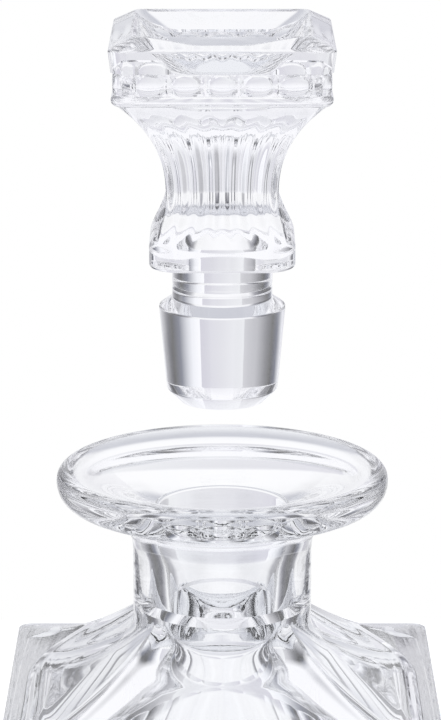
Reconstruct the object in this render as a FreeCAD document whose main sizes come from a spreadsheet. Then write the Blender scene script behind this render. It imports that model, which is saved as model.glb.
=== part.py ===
"""A square cut crystal decanter with a lift-out stopper.

The bottle stands on the XY plane with its axis on Z and the origin under its centre.
The stopper is drawn lifted above the mouth by hover_lift. Sizes are in millimetres.
"""
import FreeCAD
import Part

import math
import os

import Sketcher
from FreeCAD import Vector

SIZES = {
    # The square body of the bottle.
    "body_width": 90.0,
    "body_height": 150.0,
    "body_corner": 3.0,
    "wall": 5.0,
    "base_thickness": 12.0,
    "base_edge": 1.5,
    "cavity_corner": 24.0,
    "cavity_round": 6.0,
    # Upright round-nosed flutes cut in its four sides.
    "flutes_per_side": 8,
    "flute_margin": 5.0,
    "flute_overlap": 1.04,
    "flute_depth": 1.3,
    "flute_nose": 3.3,
    "flute_top_gap": 11.0,
    "flute_bottom_gap": 9.0,
    # The low hollow-curved shoulder, with four hips, and the round neck.
    "shoulder_rise": 19.3,
    "shoulder_top_width": 26.2,
    "shoulder_hollow": 1.65,
    "shoulder_steps": 5,
    "roof_drop": 7.0,
    "neck_root": 6.0,
    "neck_radius": 18.5,
    "neck_flare": 10.0,
    # The funnel lip.
    "lip_radius": 34.2,
    "lip_rise": 49.2,
    "lip_thickness": 7.6,
    "lip_rounding": 2.5,
    "lip_under_rounding": 4.6,
    "funnel_drop": 8.3,
    "funnel_curve": 38.0,
    "throat_rounding": 0.9,
    # The ground seat and the plug that fits it.
    "seat_clearance": 0.1,
    "seat_depth": 2.0,
    "seat_run_out": 0.9,
    "seat_ledge": 1.8,
    "plug_top_radius": 12.9,
    "plug_low_radius": 11.35,
    "plug_taper_length": 17.3,
    "plug_end_radius": 8.5,
    "plug_end_height": 2.8,
    "plug_shoulder_height": 1.8,
    "stub_radius": 10.2,
    "stub_length": 7.9,
    "ring_height": 2.6,
    # The peg of the head and the socket of the plug.
    "peg_radius": 5.0,
    "peg_length": 4.5,
    "peg_clearance": 0.05,
    # The square foot, fluted waist and cap of the head.
    "foot_width": 29.4,
    "foot_height": 4.5,
    "foot_corner": 6.5,
    "foot_edge": 0.8,
    "waist_height": 30.2,
    "waist_low_height": 9.9,
    "waist_width": 22.6,
    "waist_corner": 0.8,
    "waist_upper_power": 2.3,
    "waist_lower_power": 1.8,
    "waist_flutes": 7,
    "waist_flute_depth": 0.55,
    "waist_sections": 7,
    "cap_width": 43.7,
    "cap_corner": 3.0,
    "ledge_height": 2.0,
    "ledge_rounding": 1.2,
    "egg_band_height": 4.4,
    "egg_band_recess": 0.9,
    "eggs_per_side": 5,
    "egg_margin": 3.6,
    "egg_radius": 5.0,
    "egg_nose": 2.0,
    "corner_egg_radius": 2.8,
    "abacus_height": 4.8,
    "abacus_spread": 0.5,
    "crest_height": 2.3,
    "crest_inset": 4.3,
    "crest_land": 0.4,
    "dish_depth": 8.0,
    "dish_floor_width": 19.0,
    "dish_corner": 2.0,
    "dish_floor_corner": 6.0,
    # How far the stopper is drawn above its seat.
    "hover_lift": 44.5,
}

SIDES = 4

document = FreeCAD.newDocument("decanter")
sheet = document.addObject("Spreadsheet::Sheet", "sizes")
for row, (alias, number) in enumerate(SIZES.items(), start=1):
    sheet.set("A%d" % row, alias)
    sheet.set("B%d" % row, str(number))
    sheet.setAlias("B%d" % row, alias)
document.recompute()


def bound(formula):
    """The formula with each size written as a cell of the sheet."""
    words = []
    word = ""
    for letter in formula + " ":
        if letter.isalnum() or letter == "_":
            word += letter
            continue
        words.append("sizes." + word if word in SIZES else word)
        words.append(letter)
        word = ""
    return "".join(words).strip()


def value(formula):
    """What a formula of sizes comes to."""
    return float(sheet.evalExpression(bound(formula)))


def set_size(feature, name, formula):
    """Ties one property of a feature to a formula of sizes."""
    feature.setExpression(name, bound(formula))


# ---------------------------------------------------------------- drawing


def new_body(label):
    """An empty body for one piece."""
    body = document.addObject("PartDesign::Body", label)
    body.Label = label
    return body


def new_sketch(body, name, plane, across="0", out="0"):
    """A sketch on one of the body's own planes, moved across it and out from it."""
    support = [item for item in body.Origin.OriginFeatures if item.Role == plane][0]
    sketch = body.newObject("Sketcher::SketchObject", name)
    sketch.AttachmentSupport = [(support, "")]
    sketch.MapMode = "FlatFace"
    set_size(sketch, "AttachmentOffset.Base.x", across)
    set_size(sketch, "AttachmentOffset.Base.z", out)
    return sketch


def hold(sketch, kind, formula, *ends):
    """Adds a dimension to a sketch and ties it to a formula."""
    number = sketch.addConstraint(Sketcher.Constraint(kind, *ends, value(formula)))
    set_size(sketch, "Constraints[%d]" % number, formula)


def hold_corner(sketch, edge, end, across, up):
    """Holds one end of an edge at a place; a zero holds it on the sketch's axis."""
    if across == "0":
        sketch.addConstraint(Sketcher.Constraint("PointOnObject", edge, end, -2))
    else:
        hold(sketch, "DistanceX", across, -1, 1, edge, end)
    if up == "0":
        sketch.addConstraint(Sketcher.Constraint("PointOnObject", edge, end, -1))
    else:
        hold(sketch, "DistanceY", up, -1, 1, edge, end)


def arc_edge(start, end, radius, turn):
    """The shorter arc from start to end, turning left for turn = 1 and right for -1."""
    chord = end - start
    reach = math.sqrt(max(radius ** 2 - (chord.Length / 2) ** 2, 0))
    side = Vector(-chord.y, chord.x, 0).normalize() * turn
    centre = (start + end) / 2 + side * reach
    first, last = (start, end) if turn == 1 else (end, start)
    angles = [math.atan2(point.y - centre.y, point.x - centre.x) for point in (first, last)]
    if angles[1] < angles[0]:
        angles[1] += 2 * math.pi
    circle = Part.Circle(centre, Vector(0, 0, 1), radius)
    return Part.ArcOfCircle(circle, angles[0], angles[1])


def draw_outline(sketch, steps):
    """Draws a closed outline and holds every corner of it.

    A step is a corner (across, up), reached by a straight edge, or (across, up, radius, turn),
    reached by an arc that turns left (1) or right (-1).
    """
    corners = [Vector(value(step[0]), value(step[1]), 0) for step in steps]
    ends = []
    for index, step in enumerate(steps):
        start, end = corners[index - 1], corners[index]
        if len(step) == 2:
            edge = sketch.addGeometry(Part.LineSegment(start, end))
            ends.append((edge, 1, 2))
        else:
            edge = sketch.addGeometry(arc_edge(start, end, value(step[2]), step[3]))
            ends.append((edge, 1, 2) if step[3] == 1 else (edge, 2, 1))
    for index, step in enumerate(steps):
        edge, _, end = ends[index]
        following, start, _ = ends[(index + 1) % len(steps)]
        sketch.addConstraint(Sketcher.Constraint("Coincident", edge, end, following, start))
        hold_corner(sketch, edge, end, step[0], step[1])
        if len(step) == 4:
            hold(sketch, "Radius", step[2], edge)


def square_section(body, name, height, half, corner):
    """A sketch of a square with rounded corners, level, at a height."""
    sketch = new_sketch(body, name, "XY_Plane", out=height)
    inner = "(%s - %s)" % (half, corner)
    signs = [(1, 1), (-1, 1), (-1, -1), (1, -1)]
    steps = []
    for number, (x, y) in enumerate(signs):
        side_end = ("%d * %s" % (x, half), "%d * %s" % (y, inner))
        top_end = ("%d * %s" % (x, inner), "%d * %s" % (y, half))
        first, last = (side_end, top_end) if number % 2 == 0 else (top_end, side_end)
        steps.append(first)
        steps.append(last + (corner, 1))
    draw_outline(sketch, steps)
    return sketch


def loft(body, name, sections, kind="PartDesign::AdditiveLoft"):
    """A straight-sided loft through square sections, each (height, half width, corner)."""
    sketches = []
    for number, (height, half, corner) in enumerate(sections):
        sketches.append(square_section(body, "%s_%d" % (name, number), height, half, corner))
    feature = body.newObject(kind, name)
    feature.Profile = sketches[0]
    feature.Sections = sketches[1:]
    feature.Ruled = True
    return feature


def turned(body, name, steps, kind="PartDesign::Revolution", across="0", out="0"):
    """A round form: an outline of (radius, height) turned about the upright axis of its sketch."""
    sketch = new_sketch(body, name + "_profile", "XZ_Plane", across, out)
    draw_outline(sketch, steps)
    feature = body.newObject(kind, name)
    feature.Profile = sketch
    feature.ReferenceAxis = (sketch, ["V_Axis"])
    feature.Angle = 360
    return feature


def round_nosed(body, name, radius, nose, low, high, across, out, kind="PartDesign::Revolution"):
    """An upright cylinder with rounded ends, standing at a place in front of the -Y side."""
    return turned(body, name, [
        ("0", low),
        ("%s - %s" % (radius, nose), low),
        (radius, "%s + %s" % (low, nose), nose, 1),
        (radius, "%s - %s" % (high, nose)),
        ("%s - %s" % (radius, nose), high, nose, 1),
        ("0", high),
    ], kind, across, out)


def round_corners(body, name, original):
    """Repeats a feature at all four corners."""
    ring = body.newObject("PartDesign::PolarPattern", name)
    ring.Originals = [original]
    ring.Axis = ([item for item in body.Origin.OriginFeatures if item.Role == "Z_Axis"][0], [""])
    ring.Angle = 360
    ring.Occurrences = SIDES
    body.Tip = ring


def along_sides(body, name, original, copies, pitch):
    """Repeats a feature along one side and then round all four sides."""
    axes = {item.Role: item for item in body.Origin.OriginFeatures}
    pattern = body.newObject("PartDesign::MultiTransform", name)
    pattern.Originals = [original]
    row = body.newObject("PartDesign::LinearPattern", name + "_row")
    row.Direction = (axes["X_Axis"], [""])
    set_size(row, "Length", "(%s - 1) * %s" % (copies, pitch))
    set_size(row, "Occurrences", copies)
    ring = body.newObject("PartDesign::PolarPattern", name + "_ring")
    ring.Axis = (axes["Z_Axis"], [""])
    ring.Angle = 360
    ring.Occurrences = SIDES
    pattern.Transformations = [row, ring]
    body.Tip = pattern
    return pattern


# ---------------------------------------------------------------- the bottle

# Heights above the table, as formulas of the sizes.
# The neck's root is an eighth of a round that leans out to meet the middle of each face.
ROOT_RADIUS = "(neck_radius + neck_root * %f)" % (1 - math.cos(math.radians(45)))
ROOT_SHARE = "((body_width / 2 - %s) / (body_width / 2 - shoulder_top_width / 2))" % ROOT_RADIUS
ROOT_FOOT = "(body_height + shoulder_rise * (%s ^ shoulder_hollow - 0.005))" % ROOT_SHARE
CREST = "(body_height + lip_rise)"
THROAT = "(body_height + lip_rise - funnel_drop)"
UNDERSIDE = "(body_height + lip_rise - lip_thickness)"
SEAT_SLOPE = "((plug_top_radius - plug_low_radius) / plug_taper_length)"
PLUG_TOP_SEATED = "(body_height + lip_rise - funnel_drop - seat_depth)"
SEAT_END = "(%s - plug_taper_length - seat_run_out)" % PLUG_TOP_SEATED
MOUTH_RADIUS = "(plug_top_radius + seat_clearance + %s * (seat_depth - throat_rounding))" % SEAT_SLOPE
SEAT_END_RADIUS = "(plug_low_radius + seat_clearance - %s * seat_run_out)" % SEAT_SLOPE
BORE_RADIUS = "(neck_radius - wall)"

# The cavity lies one wall inside the sides. Its roof slopes as the shoulder does on the whole,
# and lies lower by the roof's drop, so that the hollow curve of the shoulder keeps its wall.
SHOULDER_SLOPE = "(1.742 * shoulder_rise / (body_width - shoulder_top_width))"
CAVITY_HALF = "(body_width / 2 - wall)"
CAVITY_EAVES = "(body_height + wall * %s - roof_drop)" % SHOULDER_SLOPE
CAVITY_TOP = "(body_height + (body_width / 2 - %s) * %s - roof_drop)" % (BORE_RADIUS, SHOULDER_SLOPE)

# The flutes share each side between its margins. Each is cut a little wider than its share,
# so that neighbours meet in a sharp ridge.
FLUTE_PITCH = "((body_width - 2 * flute_margin) / flutes_per_side)"
FLUTE_HALF = "(%s * flute_overlap / 2)" % FLUTE_PITCH
FLUTE_RADIUS = "((%s ^ 2 + flute_depth ^ 2) / (2 * flute_depth))" % FLUTE_HALF


def make_bottle():
    """The bottle: walls, neck and lip, then the cavity, the bore and the flutes cut in them."""
    body = new_body("bottle")
    half = "(body_width / 2)"
    walls = [
        ("0", "(body_width / 2 - base_edge)", "body_corner"),
        ("base_edge", half, "body_corner"),
        ("body_height", half, "body_corner"),
    ]
    steps = int(value("shoulder_steps"))
    for share in [(step + 1) / steps for step in range(steps)]:
        height = "(body_height + shoulder_rise * %f ^ shoulder_hollow)" % share
        walls.append((height, "(body_width / 2 - %f * (body_width - shoulder_top_width) / 2)" % share,
                      "body_corner"))
    loft(body, "walls", walls)
    turned(body, "neck_and_lip", [
        ("0", "body_height"),
        (ROOT_RADIUS, "body_height"),
        (ROOT_RADIUS, ROOT_FOOT),
        ("neck_radius", ROOT_FOOT + " + neck_root * %f" % math.sin(math.radians(45)), "neck_root", -1),
        ("neck_radius", UNDERSIDE + " - neck_flare"),
        ("neck_radius + neck_flare", UNDERSIDE, "neck_flare", -1),
        ("lip_radius - lip_under_rounding", UNDERSIDE),
        ("lip_radius", UNDERSIDE + " + lip_under_rounding", "lip_under_rounding", 1),
        ("lip_radius", CREST + " - lip_rounding"),
        ("lip_radius - lip_rounding", CREST, "lip_rounding", 1),
        ("0", CREST),
    ])
    cavity = [("base_thickness + cavity_round * %f" % (1 - math.cos(math.radians(turn))),
               "(%s - cavity_round * %f)" % (CAVITY_HALF, 1 - math.sin(math.radians(turn))),
               "(cavity_corner - cavity_round * %f)" % ((1 - math.sin(math.radians(turn))) / 2))
              for turn in (0, 30, 60, 90)]
    cavity.append((CAVITY_EAVES, CAVITY_HALF, "cavity_corner"))
    cavity.append((CAVITY_TOP, BORE_RADIUS, BORE_RADIUS + " * 0.9"))
    loft(body, "cavity", cavity, "PartDesign::SubtractiveLoft")
    turned(body, "bore", [
        ("0", CREST + " + lip_rounding"),
        ("lip_radius - lip_rounding", CREST + " + lip_rounding"),
        ("lip_radius - lip_rounding", CREST),
        (MOUTH_RADIUS + " + throat_rounding", THROAT, "funnel_curve", -1),
        (MOUTH_RADIUS, THROAT + " - throat_rounding", "throat_rounding", 1),
        (SEAT_END_RADIUS, SEAT_END),
        (BORE_RADIUS, SEAT_END + " - seat_ledge"),
        (BORE_RADIUS, CAVITY_TOP + " - wall / 2"),
        ("0", CAVITY_TOP + " - wall / 2"),
    ], "PartDesign::Groove")
    flute = round_nosed(
        body, "flute", FLUTE_RADIUS, "flute_nose", "flute_bottom_gap", "(body_height - flute_top_gap)",
        "(1 - flutes_per_side) * %s / 2" % FLUTE_PITCH,
        "body_width / 2 + %s - flute_depth" % FLUTE_RADIUS,
        "PartDesign::Groove")
    along_sides(body, "flutes", flute, "flutes_per_side", FLUTE_PITCH)
    return body


# ---------------------------------------------------------------- the stopper

# Heights above the plug's end.
PLUG_TOP = "(plug_end_height + plug_taper_length)"
STUB_BASE = "(plug_end_height + plug_taper_length + plug_shoulder_height)"
RING = "(%s + ring_height)" % STUB_BASE
STUB_TOP = "(%s + stub_length)" % STUB_BASE
FOOT_TOP = "(%s + foot_height)" % STUB_TOP
CAP_BOTTOM = "(%s + waist_height)" % FOOT_TOP
EGGS_BOTTOM = "(%s + ledge_height)" % CAP_BOTTOM
ABACUS_BOTTOM = "(%s + egg_band_height)" % EGGS_BOTTOM
CAP_TOP = "(%s + abacus_height)" % ABACUS_BOTTOM
CREST_TOP = "(%s + crest_height)" % CAP_TOP
EGG_PITCH = "((cap_width - 2 * egg_margin) / eggs_per_side)"
STOPPER_HEIGHT = "%s - %s + hover_lift" % (PLUG_TOP_SEATED, PLUG_TOP)


def make_plug():
    """The ground plug, with the socket for the head's peg."""
    body = new_body("stopper_plug")
    turned(body, "plug", [
        ("0", "0"),
        ("plug_end_radius", "0"),
        ("plug_low_radius", "plug_end_height"),
        ("plug_top_radius", PLUG_TOP),
        ("stub_radius", STUB_BASE),
        ("stub_radius", RING),
        ("0", RING),
    ])
    turned(body, "socket", [
        ("0", RING + " - peg_length - peg_clearance"),
        ("peg_radius + peg_clearance", RING + " - peg_length - peg_clearance"),
        ("peg_radius + peg_clearance", RING + " + peg_length"),
        ("0", RING + " + peg_length"),
    ], "PartDesign::Groove")
    return body


def make_head_block():
    """The head without its waist: peg, stub, foot, and the cap with its eggs and its dish."""
    body = new_body("head_block")
    turned(body, "peg_and_stub", [
        ("0", RING + " - peg_length"),
        ("peg_radius", RING + " - peg_length"),
        ("peg_radius", RING),
        ("stub_radius", RING),
        ("stub_radius", STUB_TOP),
        ("0", STUB_TOP),
    ])
    loft(body, "foot", [
        (STUB_TOP, "(foot_width / 2 - foot_edge)", "(foot_corner - foot_edge)"),
        (STUB_TOP + " + foot_edge", "(foot_width / 2)", "foot_corner"),
        (FOOT_TOP, "(foot_width / 2)", "foot_corner"),
    ])
    loft(body, "ledge", [
        (CAP_BOTTOM, "(cap_width / 2 - ledge_rounding)", "(cap_corner - ledge_rounding)"),
        (CAP_BOTTOM + " + ledge_rounding", "(cap_width / 2)", "cap_corner"),
        (EGGS_BOTTOM, "(cap_width / 2)", "cap_corner"),
    ])
    loft(body, "egg_band", [
        (EGGS_BOTTOM, "(cap_width / 2 - egg_band_recess)", "(cap_corner - egg_band_recess)"),
        (ABACUS_BOTTOM, "(cap_width / 2 - egg_band_recess)", "(cap_corner - egg_band_recess)"),
    ])
    loft(body, "abacus", [
        (ABACUS_BOTTOM, "(cap_width / 2)", "cap_corner"),
        (CAP_TOP, "(cap_width / 2 + abacus_spread)", "cap_corner"),
        (CREST_TOP, "(cap_width / 2 + abacus_spread - crest_inset)", "dish_corner"),
    ])
    corner_place = "cap_width / 2 - cap_corner"
    corner_egg = round_nosed(
        body, "corner_egg", "corner_egg_radius", "egg_nose", EGGS_BOTTOM, ABACUS_BOTTOM,
        corner_place, corner_place)
    round_corners(body, "corner_eggs", corner_egg)
    egg = round_nosed(
        body, "egg", "egg_radius", "egg_nose", EGGS_BOTTOM, ABACUS_BOTTOM,
        "(1 - eggs_per_side) * %s / 2" % EGG_PITCH, "cap_width / 2 - egg_radius")
    along_sides(body, "eggs", egg, "eggs_per_side", EGG_PITCH)
    loft(body, "dish", [
        (CREST_TOP + " - dish_depth", "(dish_floor_width / 2)", "dish_floor_corner"),
        (CREST_TOP, "(cap_width / 2 + abacus_spread - crest_inset - crest_land)", "dish_corner"),
    ], "PartDesign::SubtractiveLoft")
    return body


def square_reach(angle, half, corner):
    """How far a rounded square reaches from its centre, at an angle from the middle of a side."""
    lean = abs(math.remainder(angle, math.pi / 2))
    flat = half - corner
    if half * math.tan(lean) <= flat:
        return half / math.cos(lean)
    along = flat * (math.cos(lean) + math.sin(lean))
    return along + math.sqrt(along ** 2 - 2 * flat ** 2 + corner ** 2)


def fluted_ring(height, half, corner, depth, flutes):
    """A level closed wire: a rounded square whose sides are rows of hollows, meeting in arrises."""

    def point(angle, sunk):
        reach = square_reach(angle, half, corner) - sunk
        return Vector(reach * math.cos(angle), reach * math.sin(angle), height)

    edges = []
    for side in range(SIDES):
        facing = side * 2 * math.pi / SIDES
        for number in range(flutes):
            first = facing + math.atan(2 * number / flutes - 1)
            last = facing + math.atan(2 * (number + 1) / flutes - 1)
            middle = point((first + last) / 2, depth)
            edges.append(Part.Arc(point(first, 0), middle, point(last, 0)).toShape())
    return Part.Wire(edges)


def make_waist():
    """The concave square waist with its flutes, from the top of the foot to the cap."""
    narrow = value("waist_width / 2")
    narrow_corner = value("waist_corner")
    low = value(FOOT_TOP + " + waist_low_height")
    depth = value("waist_flute_depth")
    flutes = int(value("waist_flutes"))
    steps = int(value("waist_sections"))
    ends = [
        (value(FOOT_TOP), value("foot_width / 2"), value("foot_corner"), value("waist_lower_power")),
        (value(CAP_BOTTOM), value("cap_width / 2 - ledge_rounding"), value("cap_corner - ledge_rounding"),
         value("waist_upper_power")),
    ]
    rings = []
    for sense, (height, half, corner, power) in zip((-1, 1), ends):
        for step in range(steps + 1):
            share = step / steps if sense == 1 else 1 - step / steps
            if sense == 1 and step == 0:
                continue
            rings.append(fluted_ring(
                low + (height - low) * share,
                narrow + (half - narrow) * share ** power,
                narrow_corner + (corner - narrow_corner) * share ** 2,
                depth * (1 - 0.98 * share ** 3),
                flutes,
            ))
    waist = document.addObject("Part::Feature", "fluted_waist")
    waist.Shape = Part.makeLoft(rings, True, False)
    return waist


def make_head():
    """The whole head: block and waist in one piece of glass."""
    head = document.addObject("Part::Fuse", "stopper_head")
    head.Base = make_head_block()
    head.Tool = make_waist()
    head.Label = "stopper_head"
    return head


bottle = make_bottle()
plug = make_plug()
head = make_head()
for piece in (plug, head):
    set_size(piece, "Placement.Base.z", STOPPER_HEIGHT)
document.recompute()

for item in document.Objects:
    faults = [word for word in item.State if word in ("Invalid", "Error")]
    if faults:
        raise RuntimeError("%s: %s" % (item.Name, item.getStatusString()))

os.makedirs("parts", exist_ok=True)
for piece in (bottle, plug, head):
    if piece.Shape.isNull() or not piece.Shape.isValid() or len(piece.Shape.Solids) != 1:
        raise RuntimeError(piece.Label + " is not one valid solid")
    piece.Shape.exportStep(os.path.join("parts", piece.Label + ".step"))
    box = piece.Shape.BoundBox
    print("%s: %.1f x %.1f x %.1f mm, %.1f cm3" % (
        piece.Label, box.XLength, box.YLength, box.ZLength, piece.Shape.Volume / 1000))
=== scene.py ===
import math

import bpy
import numpy as np
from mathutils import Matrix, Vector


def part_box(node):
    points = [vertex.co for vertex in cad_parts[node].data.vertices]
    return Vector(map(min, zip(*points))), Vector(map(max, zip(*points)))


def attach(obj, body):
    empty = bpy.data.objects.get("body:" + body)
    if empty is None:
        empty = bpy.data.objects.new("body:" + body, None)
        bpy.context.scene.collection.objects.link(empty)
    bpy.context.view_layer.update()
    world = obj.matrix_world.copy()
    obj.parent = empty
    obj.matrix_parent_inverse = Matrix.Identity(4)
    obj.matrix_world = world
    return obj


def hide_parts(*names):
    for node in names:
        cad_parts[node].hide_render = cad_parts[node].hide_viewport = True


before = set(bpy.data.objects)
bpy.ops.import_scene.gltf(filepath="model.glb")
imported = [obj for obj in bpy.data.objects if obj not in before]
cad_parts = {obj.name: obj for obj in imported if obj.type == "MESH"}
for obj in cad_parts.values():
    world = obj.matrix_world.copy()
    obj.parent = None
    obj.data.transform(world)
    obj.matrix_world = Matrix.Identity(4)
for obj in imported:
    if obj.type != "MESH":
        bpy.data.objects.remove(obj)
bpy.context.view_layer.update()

# ---------------------------------------------------------------------------------------------
# The studio: a long lens looking slightly down at the stopper and the neck, a pale round table
# and an even white room. The room's light has soft bright panels with darker gaps between them,
# the same on all four sides, so that clear glass shows its edges from every side. Below the
# horizon the gaps are wider and darker, which draws the sides of the neck.

MM = 0.001
LENS_DISTANCE = 702 * MM
LENS_HEIGHT = 401 * MM
LOOK_DOWN = 14.33
FOCAL_LENGTH = 176.9

camera = bpy.data.objects.new("camera", bpy.data.cameras.new("camera"))
bpy.context.scene.collection.objects.link(camera)
camera.location = (0, -LENS_DISTANCE, LENS_HEIGHT)
camera.rotation_euler = (math.radians(90 - LOOK_DOWN), 0, 0)
camera.data.lens = FOCAL_LENGTH
camera.data.sensor_width = 36
camera.data.shift_x = -0.0024
camera.data.clip_start = 0.01
bpy.context.scene.camera = camera

scene = bpy.context.scene
scene.view_settings.view_transform = "Standard"
scene.cycles.max_bounces = 40
scene.cycles.transmission_bounces = 36
scene.cycles.glossy_bounces = 16
scene.cycles.transparent_max_bounces = 16


def ramp(nodes, links, source, stops, smooth="LINEAR"):
    """A colour ramp over a value from 0 to 1, with stops of (place, brightness or colour)."""
    node = nodes.new("ShaderNodeValToRGB")
    node.color_ramp.interpolation = smooth
    elements = node.color_ramp.elements
    while len(elements) < len(stops):
        elements.new(0.5)
    while len(elements) > len(stops):
        elements.remove(elements[-1])
    for element, (place, tone) in zip(elements, stops):
        element.position = place
        element.color = (*tone, 1) if isinstance(tone, tuple) else (tone, tone, tone, 1)
    links.new(source, node.inputs["Fac"])
    return node.outputs["Color"]


def math_node(nodes, links, operation, *values):
    """A Math node fed by sockets or plain numbers."""
    node = nodes.new("ShaderNodeMath")
    node.operation = operation
    for number, item in enumerate(values):
        if isinstance(item, (int, float)):
            node.inputs[number].default_value = item
        else:
            links.new(item, node.inputs[number])
    return node.outputs[0]


def white_room():
    """The light of the room by direction: four equal quarters of panels round the horizon, mixed
    by height with a white ceiling, a floor's glow and the low panels."""
    world = bpy.data.worlds.new("white_room")
    world.use_nodes = True
    nodes, links = world.node_tree.nodes, world.node_tree.links
    nodes.clear()
    direction = nodes.new("ShaderNodeTexCoord").outputs["Generated"]
    split = nodes.new("ShaderNodeSeparateXYZ")
    links.new(direction, split.inputs[0])
    turn = math_node(nodes, links, "ARCTAN2", split.outputs["X"], split.outputs["Y"])
    quarters = math_node(nodes, links, "MULTIPLY_ADD", turn, 2 / math.pi, 0.5)
    around = math_node(nodes, links, "FRACT", quarters)
    panels = ramp(nodes, links, around, PANELS)
    height = math_node(nodes, links, "MULTIPLY_ADD", split.outputs["Z"], 0.5, 0.5)
    room = panels
    layers = (
        (height, [(0, CEILING)], CEILING_SHARE),
        (height, FLOOR_GLOW, FLOOR_SHARE),
        (around, LOW_PANELS, LOW_SHARE),
    )
    for source, tones, share in layers:
        mix = nodes.new("ShaderNodeMix")
        mix.data_type = "RGBA"
        links.new(ramp(nodes, links, height, share), mix.inputs["Factor"])
        links.new(room, mix.inputs["A"])
        links.new(ramp(nodes, links, source, tones), mix.inputs["B"])
        room = mix.outputs["Result"]
    lit = nodes.new("ShaderNodeBackground")
    links.new(room, lit.inputs["Color"])
    seen = nodes.new("ShaderNodeBackground")
    seen.inputs["Color"].default_value = (1, 1, 1, 1)
    either = nodes.new("ShaderNodeMixShader")
    links.new(nodes.new("ShaderNodeLightPath").outputs["Is Camera Ray"], either.inputs["Fac"])
    links.new(lit.outputs[0], either.inputs[1])
    links.new(seen.outputs[0], either.inputs[2])
    out = nodes.new("ShaderNodeOutputWorld")
    links.new(either.outputs[0], out.inputs["Surface"])
    return world


PANELS = [
    (0.00, 0.09),
    (0.10, (0.24, 0.24, 0.26)),
    (0.22, (0.52, 0.52, 0.55)),
    (0.333, (0.70, 0.70, 0.73)),
    (0.334, (0.90, 0.91, 0.93)),
    (0.50, (0.78, 0.78, 0.82)),
    (0.666, (0.70, 0.69, 0.76)),
    (0.667, (1.05, 1.05, 1.08)),
    (0.74, (0.95, 0.96, 1.0)),
    (0.88, (0.22, 0.23, 0.28)),
    (1.00, 0.09),
]
CEILING = (1.0, 1.0, 1.03)
CEILING_SHARE = [(0.62, 0.0), (0.75, 1.0)]
FLOOR_GLOW = [(0.07, (0.86, 0.87, 0.90)), (0.15, (0.62, 0.63, 0.68)), (0.206, (0.56, 0.57, 0.63)),
              (0.25, (0.75, 0.76, 0.80)), (0.30, (1.0, 1.0, 1.02)), (0.36, (1.06, 1.06, 1.08))]
FLOOR_SHARE = [(0.20, 1.0), (0.25, 0.9), (0.30, 0.5), (0.36, 0.35), (0.385, 0.0)]
LOW_PANELS = [
    (0.00, 0.07),
    (0.12, (0.09, 0.09, 0.11)),
    (0.20, (0.36, 0.36, 0.40)),
    (0.26, (0.96, 0.96, 0.98)),
    (0.50, (1.02, 1.02, 1.03)),
    (0.74, (0.96, 0.96, 0.97)),
    (0.80, (0.36, 0.36, 0.39)),
    (0.88, (0.09, 0.09, 0.11)),
    (1.00, 0.07),
]
LOW_SHARE = [(0.19, 0), (0.23, 0.85), (0.357, 0.9), (0.369, 0)]
scene.world = white_room()


def round_table():
    """A thin pale disc under the object, as a grid of rings round its centre."""
    rings, spokes = 24, 96
    reach = TABLE_RADIUS * np.linspace(0, 1, rings)[1:, None]
    turn = np.linspace(0, 2 * np.pi, spokes, endpoint=False)[None, :]
    x, y = reach * np.cos(turn), reach * np.sin(turn)
    places = np.concatenate([[[0, 0, 0]], np.stack([x, y, 0 * x], -1).reshape(-1, 3)])
    ring = np.arange((rings - 2) * spokes).reshape(rings - 2, spokes) + 1
    side = np.roll(ring, -1, 1)
    quads = np.stack([ring, ring + spokes, side + spokes, side], -1).reshape(-1, 4).tolist()
    fan = [[0, 1 + n, 1 + (n + 1) % spokes] for n in range(spokes)]
    mesh = bpy.data.meshes.new("round_table")
    mesh.from_pydata(places.tolist(), [], fan + quads)
    table = bpy.data.objects.new("round_table", mesh)
    scene.collection.objects.link(table)
    return table


TABLE_RADIUS = 0.5
table = round_table()
pale = bpy.data.materials.new("pale_table")
pale.use_nodes = True
nodes, links = pale.node_tree.nodes, pale.node_tree.links
nodes.clear()
glow = nodes.new("ShaderNodeEmission")
glow.inputs["Color"].default_value = (0.86, 0.865, 0.88, 1)
diffuse = nodes.new("ShaderNodeBsdfDiffuse")
diffuse.inputs["Color"].default_value = (0.3, 0.3, 0.3, 1)
both = nodes.new("ShaderNodeAddShader")
links.new(glow.outputs[0], both.inputs[0])
links.new(diffuse.outputs[0], both.inputs[1])
out = nodes.new("ShaderNodeOutputMaterial")
links.new(both.outputs[0], out.inputs["Surface"])
table.data.materials.append(pale)
table.visible_transmission = False
table.visible_glossy = False

# ---------------------------------------------------------------------------------------------
# The bottle: a square body of clear lead crystal, blown in a mould and then cut, with a row of
# arched flutes down each side, a low pyramid shoulder, a round neck and a wide funnel lip.
# The outside, the lip, the bore and the hollow inside are one closed surface.

BODY_HALF = 45 * MM
BODY_CORNER = 3 * MM
BASE_EDGE = 1.5 * MM
FLUTES = 8
FLUTE_PITCH = 10 * MM
FLUTE_CUT_HALF = 5.2 * MM
FLUTE_DEPTH = 1.3 * MM
FLUTE_NOSE = 3.3 * MM
FLUTE_RADIUS = (FLUTE_CUT_HALF ** 2 + FLUTE_DEPTH ** 2) / (2 * FLUTE_DEPTH)
FLUTE_LOW = 9 * MM
FLUTE_HIGH = 139 * MM
SHOULDER_EDGE = 150 * MM
SHOULDER_TOP = 169.3 * MM
SHOULDER_TOP_HALF = 13.1 * MM
SHOULDER_POWER = 1.65
NECK_ROOT = 6 * MM
NECK_ROOT_TOP = 166.9 * MM
NECK_ROOT_SWING = 45
NECK_ROOT_BLEND = 60
NECK_RADIUS = 18.5 * MM
NECK_FLARE = 10 * MM
LIP_UNDERSIDE = 191.6 * MM
LIP_RADIUS = 34.2 * MM
LIP_ROUNDING = 2.5 * MM
LIP_UNDER_ROUNDING = 4.6 * MM
THROAT = 190.9 * MM
MOUTH_RADIUS = 13.1 * MM
THROAT_ROUNDING = 0.9 * MM
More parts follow.
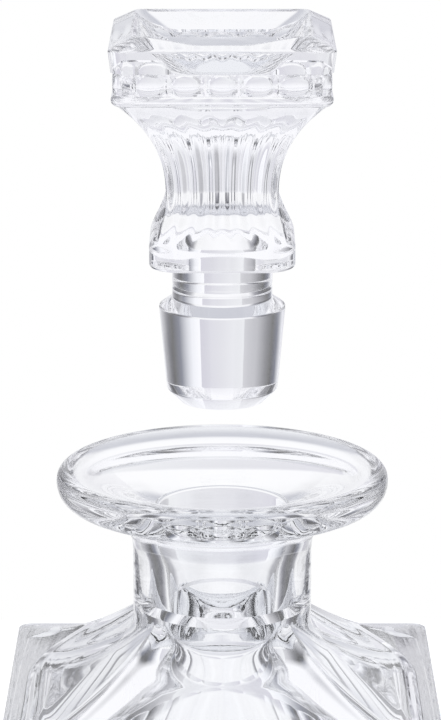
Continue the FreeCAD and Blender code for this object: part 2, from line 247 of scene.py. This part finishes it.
FUNNEL_CURVE = 38 * MM
SEAT_END = 170.7 * MM
SEAT_END_RADIUS = 11.37 * MM
BORE_RADIUS = 13.5 * MM
SEAT_LEDGE = 1.8 * MM
FLARE_TOP = 167.5 * MM
CAVITY_EAVES = 146 * MM
ROOF_FLARE = 13 * MM
FLARE_SWING = 62
ROOF_SLOPE = 12
ROOF_POWER = 1.15
EAVES_ROUND = 6 * MM
CAVITY_HALF = 40 * MM
CAVITY_CORNER = 24 * MM
CAVITY_FLOOR = 12 * MM
CAVITY_ROUND = 6 * MM
BLOWN_RIPPLE = 0.10 * MM
LIP_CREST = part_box("bottle")[1][2]


def side_turns(leans):
    """All directions round a four-sided piece, from the leans across one side of it."""
    quarter = np.arange(4)[:, None] * np.pi / 2
    return (quarter + np.asarray(leans)[None, :]).ravel()


def lean_of(turn):
    """How far a direction leans from the middle of its side, from -45 to 45 degrees."""
    return turn - np.pi / 2 * np.round(turn / (np.pi / 2))


def square_reach(turn, half, corner):
    """The distance from the axis to a rounded square: straight sides, then an arc at a corner."""
    lean = np.abs(lean_of(turn))
    flat = half - corner
    along = flat * (np.cos(lean) + np.sin(lean))
    arc = along + np.sqrt(np.maximum(along ** 2 - 2 * flat ** 2 + corner ** 2, 0))
    return np.where(half * np.tan(lean) <= flat, half / np.cos(lean), arc)


def arc_rows(centre, radius, first, last, count):
    """Places (out from the axis, up) along an arc, from one angle to another in degrees."""
    angle = np.radians(np.linspace(first, last, count))
    return np.stack([centre[0] + radius * np.cos(angle), centre[1] + radius * np.sin(angle)], -1)


def line_rows(start, end, count):
    """Places along a straight line, without its first one."""
    share = np.linspace(0, 1, count + 1)[1:, None]
    return np.asarray(start) + share * (np.asarray(end) - np.asarray(start))


def arc_between(start, end, radius, bend, count):
    """Places along the arc of a radius from start to end, bulging left of the way for bend 1."""
    start, end = np.asarray(start), np.asarray(end)
    middle, chord = (start + end) / 2, end - start
    length = np.hypot(*chord)
    aside = np.array([-chord[1], chord[0]]) / length
    centre = middle - bend * aside * np.sqrt(radius ** 2 - (length / 2) ** 2)
    first = math.atan2(*(start - centre)[::-1])
    swing = (math.atan2(*(end - centre)[::-1]) - first + math.pi) % (2 * math.pi) - math.pi
    angle = first + swing * np.linspace(0, 1, count)
    return centre + radius * np.stack([np.cos(angle), np.sin(angle)], -1)


def crystal_solid(name, turn, reach, height, crease=28):
    """A closed surface from a grid of rows round the axis.

    A point of the grid is at x = reach sin(turn), y = -reach cos(turn), z = height. The first
    and last rows close on points of the axis, and creases stay where faces meet at an angle.
    """
    reach, height = np.broadcast_arrays(reach, height)
    rows, columns = reach.shape
    grid = np.stack([reach * np.sin(turn), -reach * np.cos(turn), height], -1).reshape(-1, 3)
    poles = [[0, 0, height[0].mean()], [0, 0, height[-1].mean()]]
    start = np.arange(rows * columns).reshape(rows, columns)
    beside = np.roll(start, -1, 1)
    quads = np.stack([start[:-1], beside[:-1], beside[1:], start[1:]], -1).reshape(-1, 4)
    first = np.stack([0 * start[0] + rows * columns, beside[0], start[0]], -1)
    last = np.stack([start[-1], beside[-1], 0 * start[0] + rows * columns + 1], -1)
    mesh = bpy.data.meshes.new(name)
    mesh.from_pydata(np.concatenate([grid, poles]).tolist(), [],
                     quads.tolist() + first.tolist() + last.tolist())
    mesh.shade_smooth()
    mesh.set_sharp_from_angle(angle=math.radians(crease))
    piece = bpy.data.objects.new(name, mesh)
    scene.collection.objects.link(piece)
    return piece


def bottle_turns():
    """Directions of the bottle's columns: eight across each flute, and an arc at each corner."""
    across = np.array([-5, -4.2, -3, -1.5, 0, 1.5, 3, 4.2]) * MM
    middles = (np.arange(FLUTES) - (FLUTES - 1) / 2) * FLUTE_PITCH
    places = (middles[:, None] + across[None, :]).ravel()
    places = np.concatenate([[-41 * MM], places, [FLUTES / 2 * FLUTE_PITCH, 41 * MM]])
    swing = np.radians([0, 15, 30])
    flat = BODY_HALF - BODY_CORNER
    corner = np.arctan2(flat + BODY_CORNER * np.sin(swing), flat + BODY_CORNER * np.cos(swing))
    leans = np.concatenate([[-np.pi / 4], -corner[::-1], np.arctan(places / BODY_HALF), corner])
    return side_turns(leans)


def flute_offset(turn):
    """How far each column of a side is from the middle of its flute; margins count as its edge."""
    place = BODY_HALF * np.tan(lean_of(turn)) / FLUTE_PITCH + FLUTES / 2
    inside = (place >= 0) & (place <= FLUTES)
    offset = (place - np.clip(np.floor(place), 0, FLUTES - 1) - 0.5) * FLUTE_PITCH
    return np.where(inside, offset, FLUTE_CUT_HALF)


def bottle_walls(turn):
    """The outside of the four sides: reach and height of each row, from the base to the edge.

    Each flute is a slice of a round cutter of FLUTE_RADIUS, whose ends are rounded by FLUTE_NOSE.
    At a share of the nose, the cutter's radius is less by nose - sqrt(nose^2 - way^2), and rows
    follow the arch where that radius just meets the face.
    """
    offset = flute_offset(turn)
    core = FLUTE_RADIUS - FLUTE_DEPTH
    lost = FLUTE_RADIUS - np.minimum(np.hypot(offset, core), FLUTE_RADIUS)
    arch = np.sqrt(np.maximum(FLUTE_NOSE ** 2 - (FLUTE_NOSE - lost) ** 2, 0))
    ends = np.array([0, 0.15, 0.4, 0.65, 0.85, 0.96, 1])[:, None]
    low, high = FLUTE_LOW + FLUTE_NOSE, FLUTE_HIGH - FLUTE_NOSE
    way_down, way_up = ends[::-1] * arch, ends * arch
    below = BASE_EDGE + np.linspace(0, 0.9, 4)[:, None] * (low - arch - BASE_EDGE)
    between = np.linspace(low, high, 12)[1:-1, None] + 0 * arch
    top = SHOULDER_EDGE - 0.4 * MM
    above = high + arch + np.linspace(0.1, 1, 5)[:, None] * (top - high - arch)
    height = np.concatenate([below, low - way_down, between, high + way_up, above])
    way = np.maximum(np.maximum(low - height, height - high), 0)
    cutter = FLUTE_RADIUS - FLUTE_NOSE + np.sqrt(np.maximum(FLUTE_NOSE ** 2 - way ** 2, 0))
    sunk = np.sqrt(np.maximum(cutter ** 2 - offset ** 2, 0)) - core
    sunk = np.where(way < FLUTE_NOSE, np.maximum(sunk, 0), 0)
    sunk = np.where(np.abs(offset) < FLUTE_CUT_HALF, sunk, 0)
    return square_reach(turn, BODY_HALF, BODY_CORNER) - sunk / np.cos(lean_of(turn)), height


def rounded_square_rows(turn, rows):
    """Rows of (half width, corner radius, height), as reach and height over the columns."""
    half, corner, height = (np.asarray(rows)[:, number, None] for number in range(3))
    return square_reach(turn, half, corner), height + 0 * turn


def round_rows(turn, rows):
    """Rows of (radius, height), as reach and height over the columns."""
    rows = np.asarray(rows)
    return rows[:, 0, None] + 0 * turn, rows[:, 1, None] + 0 * turn


def blown_ripple(turn, height):
    """The slight waves of a hand-blown inner wall: crossed sines round and up the piece."""
    around = np.sin(5 * turn + height / (9 * MM)) + np.sin(11 * turn - height / (6 * MM) + 1)
    return BLOWN_RIPPLE * (around + np.sin(height / (4.3 * MM) + 2 * np.sin(3 * turn))) / 2


def shoulder_rows(turn, rows):
    """The square shoulder joined softly to the round root of the neck.

    The reach is (square^n + neck^n)^(1/n) with a high n, which is the larger of the two but for
    a soft crease. The root leans out below NECK_ROOT_TOP along an arc of radius NECK_ROOT.
    """
    square, height = rounded_square_rows(turn, rows)
    below = np.clip(NECK_ROOT_TOP - height, 0, NECK_ROOT * math.sin(math.radians(NECK_ROOT_SWING)))
    neck = NECK_RADIUS + NECK_ROOT - np.sqrt(NECK_ROOT ** 2 - below ** 2)
    larger = np.maximum(square, neck)
    power = NECK_ROOT_BLEND
    return larger * ((square / larger) ** power + (neck / larger) ** power) ** (1 / power), height


def sloping_rows(outer, inner, power, count):
    """Rows of a shoulder that rises from outer to inner as share^power, a hollow curve."""
    share = np.linspace(0, 1, count)[:, None]
    level = np.asarray(outer) + share * (np.asarray(inner) - np.asarray(outer))
    level[:, 2] = outer[2] + share[:, 0] ** power * (inner[2] - outer[2])
    return list(level)


turn = bottle_turns()
foot_ring = [(share * (BODY_HALF - BASE_EDGE), share * BODY_CORNER, 0) for share in (0.3, 0.6, 0.9)]
edge = arc_rows((BODY_HALF - BASE_EDGE, BASE_EDGE), BASE_EDGE, -90, -18, 5)
base = foot_ring + [(half, BODY_CORNER, height) for half, height in edge]
shoulder = [(BODY_HALF - 0.1 * MM, BODY_CORNER, SHOULDER_EDGE - 0.1 * MM)]
shoulder += sloping_rows((BODY_HALF - 0.35 * MM, BODY_CORNER, SHOULDER_EDGE),
                         (SHOULDER_TOP_HALF, BODY_CORNER, SHOULDER_TOP), SHOULDER_POWER, 48)
flare_start = LIP_UNDERSIDE - NECK_FLARE
lip_middle = LIP_RADIUS - LIP_ROUNDING
outside = list(line_rows((NECK_RADIUS, SHOULDER_TOP), (NECK_RADIUS, flare_start), 9))
outside += list(arc_rows((NECK_RADIUS + NECK_FLARE, flare_start), NECK_FLARE, 180, 90, 16)[1:])
outside += list(arc_rows((LIP_RADIUS - LIP_UNDER_ROUNDING, LIP_UNDERSIDE + LIP_UNDER_ROUNDING),
                         LIP_UNDER_ROUNDING, -90, 0, 12))
outside += list(arc_rows((lip_middle, LIP_CREST - LIP_ROUNDING), LIP_ROUNDING, 0, 90, 9))
throat_edge = (MOUTH_RADIUS + THROAT_ROUNDING, THROAT)
outside += list(arc_between((lip_middle, LIP_CREST), throat_edge, FUNNEL_CURVE, -1, 22)[1:])
outside += list(arc_rows((throat_edge[0], THROAT - THROAT_ROUNDING), THROAT_ROUNDING, 90, 180, 6)[1:])
outside += list(line_rows((MOUTH_RADIUS, THROAT - THROAT_ROUNDING), (SEAT_END_RADIUS, SEAT_END), 6))
bore_top = (BORE_RADIUS, SEAT_END - SEAT_LEDGE)
outside += [bore_top]
throat_foot = arc_rows((BORE_RADIUS + ROOF_FLARE, FLARE_TOP), ROOF_FLARE, 180, 180 + FLARE_SWING, 14)
outside += list(line_rows(bore_top, throat_foot[0], 2))
outside += list(throat_foot[1:])
eaves = arc_rows((CAVITY_HALF - EAVES_ROUND, CAVITY_EAVES - EAVES_ROUND), EAVES_ROUND,
                 90 - ROOF_SLOPE, 0, 9)
roof_first = (throat_foot[-1][0], throat_foot[-1][0] * 0.98, throat_foot[-1][1])
roof_last = (eaves[0][0], CAVITY_CORNER, eaves[0][1])
inside = sloping_rows(roof_last, roof_first, ROOF_POWER, 16)[-2::-1]
inside += [(half, CAVITY_CORNER, height) for half, height in eaves[1:]]
wall_end = (CAVITY_HALF, CAVITY_CORNER, CAVITY_FLOOR + CAVITY_ROUND)
inside += list(line_rows(inside[-1], wall_end, 22))
inside += [(half, CAVITY_CORNER, height) for half, height in arc_rows(
    (CAVITY_HALF - CAVITY_ROUND, CAVITY_FLOOR + CAVITY_ROUND), CAVITY_ROUND, 0, -90, 8)[1:]]
inside += [(share * CAVITY_HALF, share * CAVITY_CORNER, CAVITY_FLOOR) for share in (0.6, 0.35, 0.1)]
stretches = [rounded_square_rows(turn, base), bottle_walls(turn), shoulder_rows(turn, shoulder),
             round_rows(turn, outside), rounded_square_rows(turn, inside)]
reach = np.concatenate([stretch[0] for stretch in stretches])
height = np.concatenate([stretch[1] for stretch in stretches])
blown = np.concatenate([stretch[0] * 0 + (number == 4) for number, stretch in enumerate(stretches)])
reach = reach + blown * np.minimum(reach / CAVITY_HALF, 1) * blown_ripple(turn, height)
bottle = crystal_solid("bottle_glass", turn, reach, height)
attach(bottle, "bottle")
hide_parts("bottle")


def crystal_surface_group():
    """A shader group: faint polish marks and ripples of cut crystal, and its slight tint."""
    group = bpy.data.node_groups.new("crystal_surface", "ShaderNodeTree")
    sockets = group.interface
    for name, kind, start in (("Ripple Scale", "NodeSocketFloat", 90), ("Peel", "NodeSocketFloat", 0.0),
                              ("Polish", "NodeSocketFloat", 0.01)):
        socket = sockets.new_socket(name, in_out="INPUT", socket_type=kind)
        socket.default_value = start
    tint = sockets.new_socket("Tint", in_out="INPUT", socket_type="NodeSocketColor")
    tint.default_value = (0.96, 0.97, 0.99, 1)
    for name, kind in (("Color", "NodeSocketColor"), ("Roughness", "NodeSocketFloat"),
                       ("Height", "NodeSocketFloat")):
        sockets.new_socket(name, in_out="OUTPUT", socket_type=kind)
    nodes, links = group.nodes, group.links
    given, out = nodes.new("NodeGroupInput"), nodes.new("NodeGroupOutput")
    place = nodes.new("ShaderNodeTexCoord").outputs["Object"]
    ripple = nodes.new("ShaderNodeTexNoise")
    ripple.inputs["Detail"].default_value = 1
    links.new(place, ripple.inputs["Vector"])
    links.new(given.outputs["Ripple Scale"], ripple.inputs["Scale"])
    peel = nodes.new("ShaderNodeTexNoise")
    peel.inputs["Scale"].default_value = 620
    peel.inputs["Detail"].default_value = 1
    links.new(place, peel.inputs["Vector"])
    fine = math_node(nodes, links, "MULTIPLY", peel.outputs["Fac"], given.outputs["Peel"])
    links.new(math_node(nodes, links, "ADD", ripple.outputs["Fac"], fine), out.inputs["Height"])
    marks = nodes.new("ShaderNodeTexNoise")
    marks.inputs["Scale"].default_value = 420
    marks.inputs["Detail"].default_value = 3
    links.new(place, marks.inputs["Vector"])
    rough = math_node(nodes, links, "MULTIPLY", marks.outputs["Fac"], given.outputs["Polish"])
    links.new(rough, out.inputs["Roughness"])
    shade = nodes.new("ShaderNodeMix")
    shade.data_type = "RGBA"
    links.new(ripple.outputs["Fac"], shade.inputs["Factor"])
    links.new(given.outputs["Tint"], shade.inputs["A"])
    shade.inputs["B"].default_value = (1, 1, 1, 1)
    links.new(shade.outputs["Result"], out.inputs["Color"])
    return group


def crystal(name, tint, ripple_scale, ripple_depth, peel, polish):
    """Clear lead crystal: fully transmitting glass with the polish and ripples of the group."""
    material = bpy.data.materials.new(name)
    material.use_nodes = True
    nodes, links = material.node_tree.nodes, material.node_tree.links
    glass = nodes["Principled BSDF"]
    glass.inputs["Transmission Weight"].default_value = 1
    glass.inputs["IOR"].default_value = LEAD_CRYSTAL_IOR
    surface = nodes.new("ShaderNodeGroup")
    surface.node_tree = CRYSTAL_SURFACE
    surface.inputs["Ripple Scale"].default_value = ripple_scale
    surface.inputs["Peel"].default_value = peel
    surface.inputs["Polish"].default_value = polish
    surface.inputs["Tint"].default_value = (*tint, 1)
    bump = nodes.new("ShaderNodeBump")
    bump.inputs["Strength"].default_value = 1
    bump.inputs["Distance"].default_value = ripple_depth
    links.new(surface.outputs["Color"], glass.inputs["Base Color"])
    links.new(surface.outputs["Roughness"], glass.inputs["Roughness"])
    links.new(surface.outputs["Height"], bump.inputs["Height"])
    links.new(bump.outputs["Normal"], glass.inputs["Normal"])
    return material


LEAD_CRYSTAL_IOR = 1.53
CRYSTAL_SURFACE = crystal_surface_group()
bottle.data.materials.append(crystal("bottle_crystal", (0.955, 0.965, 0.985), 60, 0.04 * MM, 0.05, 0.02))

# ---------------------------------------------------------------------------------------------
# The plug of the stopper: solid crystal, ground to a long taper that fits the bottle's mouth,
# with a chamfered end and a short round stub. The head is made with it as one block of glass.

PLUG_COLUMNS = 128
PLUG_END_RADIUS = 8.5 * MM
PLUG_END_HEIGHT = 2.8 * MM
PLUG_LOW_RADIUS = 11.35 * MM
PLUG_TAPER = 17.3 * MM
PLUG_TOP_RADIUS = 12.9 * MM
PLUG_SHOULDER = 1.8 * MM
STUB_RADIUS = 10.2 * MM
RING_BEVEL = 0.2 * MM
RING_HALF = 0.4 * MM
PLUG_SOFTNESS = 0.35 * MM
plug_low, plug_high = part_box("stopper_plug")
PLUG_END, RING = plug_low[2], plug_high[2]


def softened(corners, rounding):
    """A path of corners with each inner corner taken off by a small arc, as ground glass has."""
    corners = np.asarray(corners, float)
    rows = [corners[0]]
    for before, corner, after in zip(corners[:-2], corners[1:-1], corners[2:]):
        back, ahead = before - corner, after - corner
        start = corner + rounding * back / np.hypot(*back)
        end = corner + rounding * ahead / np.hypot(*ahead)
        share = np.linspace(0, 1, 5)[:, None]
        rows += list((1 - share) ** 2 * start + 2 * share * (1 - share) * corner + share ** 2 * end)
    rows.append(corners[-1])
    return np.array(rows)


turn = np.linspace(0, 2 * np.pi, PLUG_COLUMNS, endpoint=False)
plug_top = PLUG_END + PLUG_END_HEIGHT + PLUG_TAPER
plug_path = [
    (0.5 * PLUG_END_RADIUS, PLUG_END),
    (PLUG_END_RADIUS, PLUG_END),
    (PLUG_LOW_RADIUS, PLUG_END + PLUG_END_HEIGHT),
    (PLUG_TOP_RADIUS, plug_top),
    (STUB_RADIUS, plug_top + PLUG_SHOULDER),
    (STUB_RADIUS, RING - RING_HALF),
    (STUB_RADIUS - RING_BEVEL, RING),
]
reach, height = round_rows(turn, softened(plug_path, PLUG_SOFTNESS))
plug = crystal_solid("stopper_plug_glass", turn, reach, height, 40)
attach(plug, "plug")
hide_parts("stopper_plug")
plug.data.materials.append(crystal("plug_crystal", (0.95, 0.955, 0.985), 120, 0.05 * MM, 0.0, 0.02))


def through_joint():
    """The plane where head and plug are one block of glass, so that light goes straight on."""
    material = bpy.data.materials.new("joint_in_the_glass")
    material.use_nodes = True
    material.node_tree.nodes["Principled BSDF"].inputs["Alpha"].default_value = 0
    return material


def open_joint(piece, level):
    """Gives a piece's flat end at a level the finish of the joint in the glass."""
    piece.data.materials.append(THROUGH_JOINT)
    middles = np.zeros(3 * len(piece.data.polygons))
    normals = np.zeros_like(middles)
    piece.data.polygons.foreach_get("center", middles)
    piece.data.polygons.foreach_get("normal", normals)
    at_end = np.abs(middles[2::3] - level) < 0.01 * MM
    flat = at_end & (np.abs(normals[2::3]) > 0.99)
    piece.data.polygons.foreach_set("material_index", flat.astype(np.int32))


THROUGH_JOINT = through_joint()
open_joint(plug, RING)

# ---------------------------------------------------------------------------------------------
# The head of the stopper: a solid square block of crystal, pressed and fire-polished. A stub and
# a rounded foot carry a waist of fine flutes, which spreads to a cap with a rounded ledge, a row
# of eggs and darts, a plain slab and a square dish sunk in its top.

HEAD_FLUTES = 7
HEAD_COLUMNS = 15 * HEAD_FLUTES
FOOT_BOTTOM = RING + 5.3 * MM
FOOT_TOP = FOOT_BOTTOM + 4.5 * MM
FOOT_HALF = 14.7 * MM
FOOT_CORNER = 6.5 * MM
FOOT_EDGE = 0.8 * MM
WAIST_HALF = 11.3 * MM
WAIST_CORNER = 0.8 * MM
WAIST_NARROW = FOOT_TOP + 9.9 * MM
LOWER_POWER = 1.8
FOOT_EASE = 1.3
UPPER_POWER = 2.3
WAIST_FLUTE_DEPTH = 0.55 * MM
WAIST_FLUTE_POWER = 1.5
CAP_BOTTOM = FOOT_TOP + 30.2 * MM
ARCH_FOOT = CAP_BOTTOM - 6.5 * MM
ARCH_RISE = 4.5 * MM
TOE_TOP = FOOT_TOP + 4.5 * MM
TOE_DROP = 3.2 * MM
CAP_HALF = 21.85 * MM
CAP_CORNER = 3 * MM
LEDGE_ROUNDING = 1.2 * MM
EGGS_BOTTOM = CAP_BOTTOM + 2.0 * MM
EGG_RECESS = 0.9 * MM
EGGS = 5
EGG_MARGIN = 3.6 * MM
EGG_HALF = 3.1 * MM
EGG_SQUARENESS = 2.4
EGG_OVERRUN = 1.02
DART_HALF = 0.55 * MM
DART_SHARE = 0.8
CORNER_EGG_SPREAD = 0.09
ABACUS_BOTTOM = EGGS_BOTTOM + 4.4 * MM
ABACUS_SPREAD = 0.5 * MM
CAP_TOP = ABACUS_BOTTOM + 4.8 * MM
CREST_INSET = 4.3 * MM
CREST_LAND = 0.4 * MM
DISH_CORNER = 2 * MM
DISH_DEPTH = 8.0 * MM
DISH_FLOOR_HALF = 9.5 * MM
DISH_FLOOR_CORNER = 6 * MM
CREST_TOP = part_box("stopper_head")[1][2]


def waist_rows(turn):
    """The waist's rows: half = narrow + (end - narrow) share^power above the narrow place, and
    1 - (1 - share^power)^ease in place of share^power below it.

    The flutes are hollows between arrises, seven across a side, cos(pi/2 across)^power deep. The
    arch under the cap and the toe on the foot each lessen that by 1 - way^2 along their length.
    """
    levels = np.concatenate([np.linspace(FOOT_TOP, WAIST_NARROW, 22)[1:],
                             np.linspace(WAIST_NARROW, CAP_BOTTOM, 46)[1:]])[:, None]
    low_share = np.clip((WAIST_NARROW - levels) / (WAIST_NARROW - FOOT_TOP), 0, 1)
    high_share = np.clip((levels - WAIST_NARROW) / (CAP_BOTTOM - WAIST_NARROW), 0, 1)
    cap_half = CAP_HALF - LEDGE_ROUNDING
    half = WAIST_HALF + (FOOT_HALF - WAIST_HALF) * (1 - (1 - low_share ** LOWER_POWER) ** FOOT_EASE)
    half = half + (cap_half - WAIST_HALF) * high_share ** UPPER_POWER
    corner = WAIST_CORNER + (FOOT_CORNER - WAIST_CORNER) * low_share ** 2
    corner = corner + (CAP_CORNER - LEDGE_ROUNDING - WAIST_CORNER) * high_share ** 2
    across = (np.tan(lean_of(turn)) + 1) / 2 * HEAD_FLUTES
    across = 2 * (across - np.floor(np.clip(across, 0, HEAD_FLUTES - 1e-6))) - 1
    arch = np.clip((levels - ARCH_FOOT) / ARCH_RISE, 0, 1)
    toe = np.clip((TOE_TOP - levels) / TOE_DROP, 0, 1)
    ends = (1 - arch ** 2) * (1 - toe ** 2)
    hollow = np.maximum(np.cos(np.pi / 2 * across), 0) ** WAIST_FLUTE_POWER * ends
    reach = square_reach(turn, half, corner) - WAIST_FLUTE_DEPTH * hollow
    return reach, levels + 0 * turn


def egg_band_rows(turn):
    """The band of eggs and darts: domes sqrt(1 - across^2 - up^2.4) out of a sunk band, with low
    ridges between them and a narrower dome on each corner."""
    levels = np.linspace(EGGS_BOTTOM, ABACUS_BOTTOM, 20)[:, None]
    pitch = (2 * CAP_HALF - 2 * EGG_MARGIN) / EGGS
    along = CAP_HALF * np.tan(lean_of(turn)) / pitch + EGGS / 2
    number = np.clip(np.floor(along), 0, EGGS - 1)
    across = (along - number - 0.5) * pitch
    up = (levels - EGGS_BOTTOM) / (ABACUS_BOTTOM - EGGS_BOTTOM) * 2 - 1
    along_egg = (np.abs(up) / EGG_OVERRUN) ** EGG_SQUARENESS
    dome = np.sqrt(np.maximum(1 - (across / EGG_HALF) ** 2 - along_egg, 0))
    beside = np.abs(np.abs(across) - pitch / 2)
    dart = np.clip(1 - beside / DART_HALF, 0, 1) * np.clip(1.2 - np.abs(up), 0, 1)
    from_corner = (np.pi / 4 - np.abs(lean_of(turn))) / CORNER_EGG_SPREAD
    corner_egg = np.sqrt(np.maximum(1 - from_corner ** 2 - up ** 2, 0))
    proud = EGG_RECESS * np.maximum(np.maximum(dome, DART_SHARE * dart), corner_egg)
    sunk = square_reach(turn, CAP_HALF - EGG_RECESS, CAP_CORNER - EGG_RECESS)
    return sunk + proud, levels + 0 * turn


turn = side_turns(np.arctan(np.linspace(-1, 1, HEAD_COLUMNS, endpoint=False)))
stub = softened([
    (0.5 * STUB_RADIUS, RING),
    (STUB_RADIUS - RING_BEVEL, RING),
    (STUB_RADIUS, RING + RING_HALF),
    (STUB_RADIUS, FOOT_BOTTOM - 0.5 * MM),
], 0.12 * MM)
stub = np.concatenate([stub, [(STUB_RADIUS + 0.15 * MM, FOOT_BOTTOM - 0.15 * MM),
                              (STUB_RADIUS + 0.5 * MM, FOOT_BOTTOM)]])
foot_edge = arc_rows((FOOT_HALF - FOOT_EDGE, FOOT_BOTTOM + FOOT_EDGE), FOOT_EDGE, -90, 0, 6)
foot = [(half, FOOT_CORNER + half - FOOT_HALF, level) for half, level in foot_edge]
foot += [(FOOT_HALF, FOOT_CORNER, level) for level in np.linspace(FOOT_BOTTOM + FOOT_EDGE, FOOT_TOP, 6)[1:]]
ledge_edge = arc_rows((CAP_HALF - LEDGE_ROUNDING, CAP_BOTTOM + LEDGE_ROUNDING), LEDGE_ROUNDING, -90, 60, 12)
ledge = [(half, CAP_CORNER + half - CAP_HALF, level) for half, level in ledge_edge[1:]]
slab_half = CAP_HALF + ABACUS_SPREAD
slab = [(CAP_HALF, CAP_CORNER, ABACUS_BOTTOM + 0.3 * MM)]
slab += list(line_rows(slab[0], (slab_half, CAP_CORNER, CAP_TOP - 0.3 * MM), 6))
slab += [(slab_half - 0.1 * MM, CAP_CORNER, CAP_TOP - 0.08 * MM)]
slab += [(slab_half - 0.3 * MM, CAP_CORNER, CAP_TOP + 0.12 * MM)]
crest_half = slab_half - CREST_INSET
slab += list(line_rows(slab[-1], (crest_half + 0.2 * MM, DISH_CORNER, CREST_TOP - 0.12 * MM), 6))
slab += [(crest_half, DISH_CORNER, CREST_TOP)]
rim_half = crest_half - CREST_LAND
dish_start = (rim_half - 0.2 * MM, DISH_CORNER, CREST_TOP - 0.15 * MM)
dish_end = (DISH_FLOOR_HALF + 0.6 * MM, DISH_FLOOR_CORNER, CREST_TOP - DISH_DEPTH + 0.5 * MM)
dish = [(rim_half, DISH_CORNER, CREST_TOP), dish_start] + list(line_rows(dish_start, dish_end, 16))
dish += [(DISH_FLOOR_HALF * share, DISH_FLOOR_CORNER * share, CREST_TOP - DISH_DEPTH)
         for share in (0.95, 0.6, 0.3)]
stretches = [round_rows(turn, stub), rounded_square_rows(turn, foot), waist_rows(turn),
             rounded_square_rows(turn, ledge), egg_band_rows(turn), rounded_square_rows(turn, slab),
             rounded_square_rows(turn, dish)]
reach = np.concatenate([stretch[0] for stretch in stretches])
height = np.concatenate([stretch[1] for stretch in stretches])
head = crystal_solid("stopper_head_glass", turn, reach, height)
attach(head, "head")
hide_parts("stopper_head")
head.data.materials.append(crystal("head_crystal", (0.955, 0.96, 0.985), 150, 0.05 * MM, 0.03, 0.01))
open_joint(head, RING)
